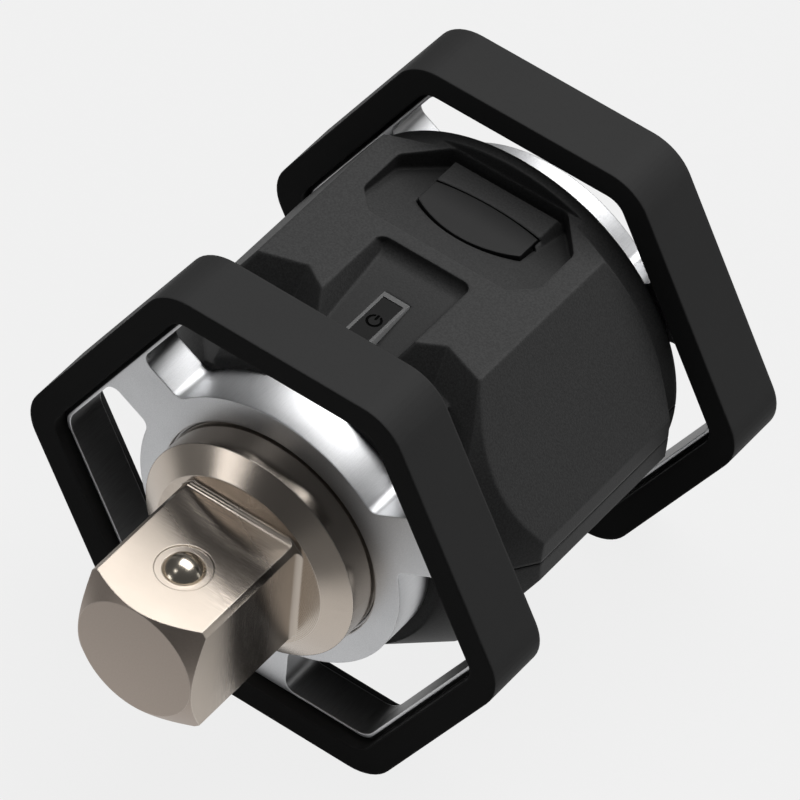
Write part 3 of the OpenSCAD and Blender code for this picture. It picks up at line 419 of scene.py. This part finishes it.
def flange_finish():
    metal = Finish("milled_aluminium", Metallic=1.0)
    face_dark, face_light = shade(0.46, 0.465, 0.475), shade(0.68, 0.685, 0.695)
    wall_dark, wall_light = shade(0.56, 0.57, 0.58), shade(0.98, 0.98, 0.99)
    painted_reflection_dark, painted_reflection_light, rubbed = shade(0.1), shade(0.2), shade(0.92)
    soft, wear_and_highlight_edge = metal.edges(0.3)
    blasted = abs(metal.leans((0.0, 1.0, 0.0))).ramp(0.8, 0.95)
    clouds = metal.noise(9, detail=4)
    beads = metal.noise(0.14, detail=2, rough=0.7)
    cutter = metal.noise(0.35, detail=3, stretch=(3, 0.12, 3))
    x, _, z = metal.axes()
    reach = (x * x + z * z) ** 0.5 / MM
    face = metal.tint((clouds + beads.ramp(0.3, 0.7)) / 2.0, face_dark, face_light)
    wall = metal.tint((cutter + beads) / 2.0, wall_dark, wall_light)
    # Painted reflection of the black rubber: the outer walls are darkened.
    outer = metal.tint(cutter, painted_reflection_dark, painted_reflection_light)
    wall = metal.tint(reach.ramp(*OUTER_WALL_MM), wall, outer)
    metal.feed("Base Color", metal.tint(wear_and_highlight_edge * 0.5, metal.tint(blasted, wall, face), rubbed))
    metal.feed("Roughness", (0.38 + cutter * 0.2) - blasted * (0.06 - beads * 0.06))
    grain = beads * (0.5 + blasted * 0.5) + cutter * (1 - blasted) * 0.7
    metal.emboss(grain, 0.35, 0.03, soft)
    metal.dress("front_flange", "rear_flange")


flange_finish()

# %% [markdown]
# The shaft is hardened steel under a warm nickel plate. The end face and the cone at the tip are
# barrel finished and look satin, with a fine mottle. The four flats are ground, so they carry
# very fine lines across the square and mirror the room in long soft streaks; a band near their
# root is smoother, and its darker colour is a painted dark reflection. The shoulder, the cone and
# the collar were turned, and show rings. Once more the place and the direction of the surface
# choose: distance from the tip, and how far the normal leans along the axis.

# %% Nickel plated shaft
# Distances from the tip between which one finish gives way to the next.
TIP_END = (3.0 * MM, 3.5 * MM)
SQUARE_END = (22.6 * MM, 23.2 * MM)
# The turned rings are a sine wave with this many radians to a millimetre.
RING_RADIANS = 26.0
# The smoother band across the flats, which also carries a painted dark reflection: its middle, and
# where it begins to fade and is gone.
BAND_MIDDLE_MM = 17.5
BAND_FADE_MM = (2.0, 9.0)


def shaft_finish():
    steel = Finish("shaft_steel", Metallic=1.0)
    warm_dark, warm_light = shade(0.46, 0.405, 0.35), shade(0.54, 0.475, 0.41)
    satin_dark, satin_light = shade(0.36, 0.305, 0.265), shade(0.48, 0.41, 0.355)
    painted_dark_streak, rubbed = shade(0.2, 0.175, 0.155), shade(0.86, 0.81, 0.74)
    soft, wear_and_highlight_edge = steel.edges(0.25)
    x, y, z = steel.axes()
    tip = steel.leans((0.0, -1.0, 0.0)).ramp(0.5, 0.7) * y.fall(*TIP_END)
    turned = y.ramp(*SQUARE_END)
    flank = (1 - tip) * (1 - turned)
    mottle = steel.noise(0.3, detail=4, rough=0.7)
    clouds = steel.noise(7, detail=4)
    ground = steel.noise(0.35, detail=4, rough=0.7, stretch=(0.12, 2.5, 0.12))
    radius = (x * x + z * z) ** 0.5
    rings = ((radius + y) / MM * RING_RADIANS).math("SINE") * 0.5 + 0.5
    across = (y + x * 0.5) / MM
    polish = abs(across - BAND_MIDDLE_MM).ramp(*BAND_FADE_MM)
    band = flank * (1 - polish) * ground.ramp(0.3, 0.6)
    warm = steel.tint(clouds, warm_dark, warm_light)
    warm = steel.tint(tip, warm, steel.tint(mottle, satin_dark, satin_light))
    # Painted dark reflection: the band across the flats is darkened in streaks.
    warm = steel.tint(band * 0.7, warm, painted_dark_streak)
    steel.feed("Base Color", steel.tint(wear_and_highlight_edge * 0.5, warm, rubbed))
    rough_flat = 0.14 + ground * 0.12 + polish * 0.24
    rough_turned = 0.17 + rings * 0.05 + clouds * 0.05
    rough_tip = 0.38 + mottle * 0.16
    rough = rough_flat * (1 - turned) + rough_turned * turned
    steel.feed("Roughness", rough * (1 - tip) + rough_tip * tip)
    lines = ground * (1 - turned) * 0.5 + rings * turned * 0.12
    steel.emboss(lines * (1 - tip) + mottle * tip, 0.3, 0.02, soft)
    steel.dress("torque_shaft")


shaft_finish()

# %% [markdown]
# The ball is a bearing ball that has rubbed in many sockets: a warm satin shine with scuffs. The
# springs, pins, screws and metal cans inside are plainer, and the bushes are bronze. One recipe
# serves them all, each with its own colour, roughness and amount of scuffing.

# %% Ball, springs and small metal pieces
# A scuffed place keeps this share of the full colour.
DULL = 0.82


def steel_finish(name, colour, rough, names, scuff=0.06):
    """A colour between dull and full, a roughness that the scuffs raise, and a fine bump."""
    metal = Finish(name, Metallic=1.0)
    scuffs = metal.noise(0.8, detail=5, rough=0.75)
    fine = metal.noise(0.15)
    dull = tuple(c * DULL for c in colour)
    metal.feed("Base Color", metal.tint(scuffs, shade(*dull), shade(*colour)))
    metal.feed("Roughness", rough + scuffs * scuff)
    metal.emboss(fine, 0.06, 0.01)
    metal.dress(*names)
    return metal


steel_finish("ball_steel", (0.8, 0.72, 0.6), rough=0.2, names=["detent_ball"])
steel_finish("pin_steel", (0.6, 0.6, 0.62), rough=0.25,
             names=["hinge_pin", "charging_port", "radio_module"])
spring_steel = steel_finish("spring_steel", (0.35, 0.35, 0.37), rough=0.3, names=[
    "detent_spring", "front_retaining_ring", "rear_retaining_ring"])
steel_finish("screw_steel", (0.42, 0.42, 0.44), rough=0.28,
             names=["housing_screws", "board_screws"])
steel_finish("bush_bronze", (0.6, 0.45, 0.22), rough=0.35, scuff=0.15,
             names=["front_bush", "rear_bush"])
steel_finish("cell_foil", (0.7, 0.72, 0.76), rough=0.35, scuff=0.2, names=["battery_cell"])

# %% [markdown]
# The rest of the inside is seen only when the cover is open or a part is taken out of the set:
# circuit board, black components, silicone and rubber, amber film. Each gets a plain recipe of
# the same kind, colour clouds, a varying roughness and a fine bump, with its own values.

# %% Inside pieces
def plain_finish(name, dark, light, rough, grain_mm, bump, names):
    stuff = Finish(name)
    soft, wear_and_highlight_edge = stuff.edges(0.15)
    clouds = stuff.noise(6, detail=4)
    grain = stuff.noise(grain_mm)
    stuff.feed("Base Color", stuff.tint(clouds, shade(*dark), shade(*light)))
    stuff.feed("Roughness", rough + clouds * 0.12 - wear_and_highlight_edge * 0.05)
    stuff.emboss(grain, bump, 0.03, soft)
    stuff.dress(*names)
    return stuff


plain_finish("board_green", (0.012, 0.07, 0.03), (0.02, 0.11, 0.045),
             rough=0.3, grain_mm=0.5, bump=0.3, names=["main_board"])
plain_finish("component_black", (0.012,) * 3, (0.02,) * 3,
             rough=0.45, grain_mm=0.2, bump=0.2, names=["button_switch", "buzzer"])
plain_finish("tray_plastic", (0.03,) * 3, (0.045,) * 3,
             rough=0.5, grain_mm=0.2, bump=0.2, names=["battery_tray"])
plain_finish("seal_rubber", (0.008,) * 3, (0.014,) * 3,
             rough=0.55, grain_mm=0.3, bump=0.2, names=["front_seal", "rear_seal", "seam_gasket"])
dome_silicone = plain_finish("dome_silicone", (0.5, 0.5, 0.48), (0.6, 0.6, 0.58),
                             rough=0.5, grain_mm=0.3, bump=0.1, names=["button_dome"])
plain_finish("gauge_film", (0.4, 0.2, 0.04), (0.5, 0.27, 0.06),
             rough=0.25, grain_mm=0.4, bump=0.1, names=["strain_gauges", "gauge_lead"])
plain_finish("light_lens", (0.75, 0.75, 0.7), (0.85, 0.85, 0.8),
             rough=0.2, grain_mm=0.4, bump=0.05, names=["status_light"])
bare = [n for n, o in parts.items() if not o.data.materials or o.data.materials[0] is None]
print("finishes made:", len(bpy.data.materials), "parts still bare:", bare)

# %% [markdown]
# New pieces are surfaces worked out from formulas. Two helpers are enough for all of them: one
# names the four corners of every face of a grid of points, and the other puts points and faces
# into a mesh. The grid may close on itself, as the rings of a tube or a turned shape do.

# %% Make a mesh from a grid
def grid_faces(rows, columns, closed):
    """Face i, j joins the points i, j and i + 1, j to the next ones along the row. In a closed
    grid the point after the last one of a row is its first."""
    last = columns if closed else columns - 1
    i, j = np.meshgrid(np.arange(rows - 1), np.arange(last), indexing="ij")
    here = i * columns + j
    after = i * columns + (j + 1) % columns
    corners = [here, here + columns, after + columns, after]
    return np.stack(corners, axis=-1).reshape(-1, 4).tolist()


def mesh_object(name, points, faces):
    """Puts points and faces into a mesh with smooth shading and links it to the scene."""
    mesh = bpy.data.meshes.new(name)
    mesh.from_pydata(points.tolist(), [], faces)
    mesh.polygons.foreach_set("use_smooth", [True] * len(mesh.polygons))
    mesh.update()
    item = bpy.data.objects.new(name, mesh)
    bpy.context.scene.collection.objects.link(item)
    print(name, "has", len(mesh.vertices), "points and", len(mesh.polygons), "faces")
    return item


print("faces of an open grid of 3 by 3 points:", len(grid_faces(3, 3, closed=False)))

# %% [markdown]
# Two hidden pieces give way when something is pressed: the coil spring under the ball and the
# silicone dome under the key. The solids of both can't shorten, so each is drawn again as a
# surface, in the same place and of the same size. A Screw modifier could make the spring too, but
# the formula shows what a spring is: one wire swept along a helix. Its turns just meet when the
# ball is all the way down.

# %% Coil of the spring
SPRING_WIRE = 0.8 * MM
SPRING_TURNS = 2.6
BALL_TRAVEL = 1.7 * MM


def coil(low, high, wire, turns, along=96, around=14):
    """A wire swept along a helix between two heights: the middle of the wire is at angle a and
    rises evenly with a; a point is that middle plus the wire's radius times cos b outwards and
    sin b along the binormal. The two ends are closed flat."""
    middle = (low + high) / 2
    radius = (high.x - low.x) / 2 - wire / 2
    a = np.linspace(0, 2 * math.pi * turns, along)
    rise = (high.z - low.z - wire) / a[-1]
    b = np.arange(around) / around * 2 * math.pi
    out = np.stack([np.cos(a), np.sin(a), 0 * a], axis=-1)
    ahead = np.stack([-radius * np.sin(a), radius * np.cos(a), rise + 0 * a], axis=-1)
    ahead /= np.linalg.norm(ahead, axis=-1, keepdims=True)
    across = np.cross(out, ahead)
    path = np.stack([middle.x + radius * np.cos(a), middle.y + radius * np.sin(a),
                     low.z + wire / 2 + rise * a], axis=-1)
    ring = np.cos(b)[None, :, None] * out[:, None] + np.sin(b)[None, :, None] * across[:, None]
    points = (path[:, None] + wire / 2 * ring).reshape(-1, 3)
    first, last = range(around), range((along - 1) * around, along * around)
    faces = grid_faces(along, around, closed=True) + [list(first), list(reversed(last))]
    return points, faces


print("spring wire:", SPRING_WIRE, "metres, turns:", SPRING_TURNS)

# %% [markdown]
# The dome is a profile turned about its axis. It is curved like a real one, and its skin has a
# true thickness: the profile runs down the outside and comes back up the inside.

# %% Dome under the key
DOME_SKIN = 0.3 * MM
DOME_CURVE = 0.7
KEY_TRAVEL = 0.6 * MM


def dome(low, high, skin, steps=9, around=40):
    """A hollow cap turned about its axis. Its outer profile runs from the pole to the foot as
    r = foot * sin u, z = height * cos u to the power DOME_CURVE, and its inner one back the same
    way, a skin thinner. Each pole is one point with a fan of triangles round it."""
    middle = (low + high) / 2
    foot, height = (high.x - low.x) / 2, high.z - low.z
    u = np.linspace(0, math.pi / 2, steps)
    rise = np.clip(np.cos(u), 0, 1) ** DOME_CURVE
    outer = np.stack([foot * np.sin(u), height * rise], axis=-1)
    inner = np.stack([(foot - skin) * np.sin(u), (height - skin) * rise], axis=-1)[::-1]
    profile = np.concatenate([outer, inner])[1:-1]
    a = np.arange(around) / around * 2 * math.pi
    rings = np.stack([middle.x + profile[:, :1] * np.cos(a),
                      middle.y + profile[:, :1] * np.sin(a),
                      low.z + profile[:, 1:] + 0 * a], axis=-1)
    poles = [[middle.x, middle.y, high.z], [middle.x, middle.y, high.z - skin]]
    points = np.concatenate([rings.reshape(-1, 3), poles])
    top = len(profile) * around
    here = np.arange(around)
    after = (here + 1) % around
    outer_fan = np.stack([np.full(around, top), here, after], axis=-1)
    inner_fan = np.stack([np.full(around, top + 1), top - around + after, top - around + here],
                         axis=-1)
    faces = grid_faces(len(profile), around, closed=True) + outer_fan.tolist() + inner_fan.tolist()
    return points, faces


print("dome skin:", DOME_SKIN, "metres")

# %% [markdown]
# Each new piece rides on the main body and takes the place of its solid. The share of its height
# that it would keep with its joint fully moved follows from the joint's travel, and is printed.

# %% Put spring and dome in place of their solids
def give_way(name, shape, finish, node, keep):
    """Puts a surface in the place of a solid node, on the main body."""
    piece = mesh_object(name, *shape)
    piece.data.materials.append(finish.material)
    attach(piece, "adapter")
    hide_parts(node)
    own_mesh(piece)
    print(name, "keeps", round(keep, 3), "of its height")


low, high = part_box("detent_spring")
give_way("spring_coil", coil(low, high, SPRING_WIRE, SPRING_TURNS), spring_steel,
         "detent_spring", 1 - BALL_TRAVEL / (high.z - low.z))
low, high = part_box("button_dome")
give_way("snap_dome", dome(low, high, DOME_SKIN), dome_silicone,
         "button_dome", 1 - KEY_TRAVEL / (high.z - low.z))

# %% [markdown]
# The set is a pale studio table. The floor is one large curved sheet, so no horizon shows, worked
# out as a profile carried sideways. To the camera and in reflections it is mostly self-lit
# white, so the background stays pale while the floor still takes the object's shadow. In
# reflections only a pool round the object is white: the dimmer floor beyond it is what gives
# the steel its dark streaks, as the edge of a real table does.

# %% Floor
FLOOR_HEIGHT = -34.2 * MM
POOL_MIDDLE = (-18 * MM, 88 * MM)
POOL_EDGE = (96 * MM, 185 * MM)
SELF_LIT = 0.84


def swept_floor(across=41, along=61, width=6.0, depth=6.0, bend=1.2):
    """A sheet on a grid: s runs sideways, t runs away from the camera. The profile is flat, then a
    quarter circle of radius bend, then upright; a point is s sideways plus the profile at t."""
    s = np.linspace(-width / 2, width / 2, across)
    t = np.linspace(0.0, depth + bend * math.pi / 2 + 1.0, along)
    angle = np.clip((t - depth) / bend, 0, math.pi / 2)
    ahead = np.minimum(t, depth) + bend * np.sin(angle) - depth / 2
    height = bend * (1 - np.cos(angle)) + np.maximum(t - depth - bend * math.pi / 2, 0)
    sideways, ahead = np.meshgrid(s, ahead, indexing="ij")
    x = sideways * math.cos(compass) - ahead * math.sin(compass)
    y = sideways * math.sin(compass) + ahead * math.cos(compass)
    z = np.broadcast_to(height + FLOOR_HEIGHT, x.shape)
    points = np.stack([x, y, z], axis=-1).reshape(-1, 3)
    return points, grid_faces(across, along, closed=False)


floor = mesh_object("floor", *swept_floor())


def floor_finish():
    paper = Finish("floor_paper", Roughness=0.9, Specular_IOR_Level=0.1)
    dark, light, beyond, white = shade(0.19), shade(0.23), shade(0.22), shade(1.0)
    fibre = paper.noise(2.0, detail=4)
    x, y, _ = paper.axes()
    across = x - POOL_MIDDLE[0]
    ahead = y - POOL_MIDDLE[1]
    pool = ((across * across + ahead * ahead) ** 0.5).fall(*POOL_EDGE)
    paper.feed("Base Color", paper.tint(fibre, dark, light))
    paper.emboss(fibre, 0.05, 0.05)
    seen = paper.add("ShaderNodeLightPath", out="Is Camera Ray")
    glossy = paper.add("ShaderNodeLightPath", out="Is Glossy Ray")
    through = paper.add("ShaderNodeLightPath", out="Is Transmission Ray")
    glow = paper.tint(pool.math("MAXIMUM", seen), beyond, white)
    lit = paper.add("ShaderNodeEmission", None, {"Color": glow, "Strength": 1.0})
    share = seen.math("MAXIMUM", glossy).math("MAXIMUM", through) * SELF_LIT
    matt = Field(paper, paper.shader.outputs[0])
    mixed = paper.add("ShaderNodeMixShader", None, {0: share, 1: matt, 2: lit})
    mixed.into(paper.nodes["Material Output"], "Surface")
    floor.data.materials.append(paper.material)


floor_finish()
print("floor at", FLOOR_HEIGHT, "metres")

# %% [markdown]
# Black plastic and bright steel need opposite light: plastic shows its shape only by broad soft
# highlights, and steel shows whatever it mirrors. Soft panels do both. A large one hangs above
# and behind and lights the panel. A weaker one stands low at the back right, for the housing's
# side. Two small ones in front give the cone and the shoulder their bright lines; they are small
# so that they hardly lift the black faces. The dark room between them gives the steel its dark
# streaks. Only the camera sees the room as nearly white.

# %% Lamps and room
ROOM_COLOUR = shade(0.9, 0.92, 0.95)
ROOM_GLIMMER = 0.08


def panel(name, place, aim, size, watts):
    """A soft rectangular lamp at place, turned towards aim; lengths are in metres."""
    lamp = bpy.data.lights.new(name, "AREA")
    lamp.shape = "RECTANGLE"
    lamp.size, lamp.size_y = size
    lamp.energy = watts
    item = bpy.data.objects.new(name, lamp)
    item.location = place
    item.rotation_euler = (Vector(aim) - Vector(place)).to_track_quat("-Z", "Y").to_euler()
    bpy.context.scene.collection.objects.link(item)


middle = (0.0, 0.05, 0.0)
square = (0.0, 0.02, 0.0)
panel("top_panel", (-0.02, 0.42, 0.94), middle, size=(1.0, 0.85), watts=12.5)
panel("right_panel", (0.85, 0.75, 0.14), middle, size=(0.5, 0.4), watts=2.0)
panel("front_panel", (-0.6, -0.88, 0.1), square, size=(0.35, 0.16), watts=0.5)
panel("corner_panel", (-0.34, -0.52, 0.66), square, size=(0.16, 0.16), watts=0.22)

room = bpy.data.worlds.new("room")
bpy.context.scene.world = room
room.use_nodes = True
air = Recipe(room.node_tree)
sky = air.nodes["Background"]
sky.inputs["Color"].default_value = ROOM_COLOUR
seen = air.add("ShaderNodeLightPath", out="Is Camera Ray")
(seen * SELF_LIT + ROOM_GLIMMER).into(sky, "Strength")
bpy.context.scene.view_settings.view_transform = "Standard"
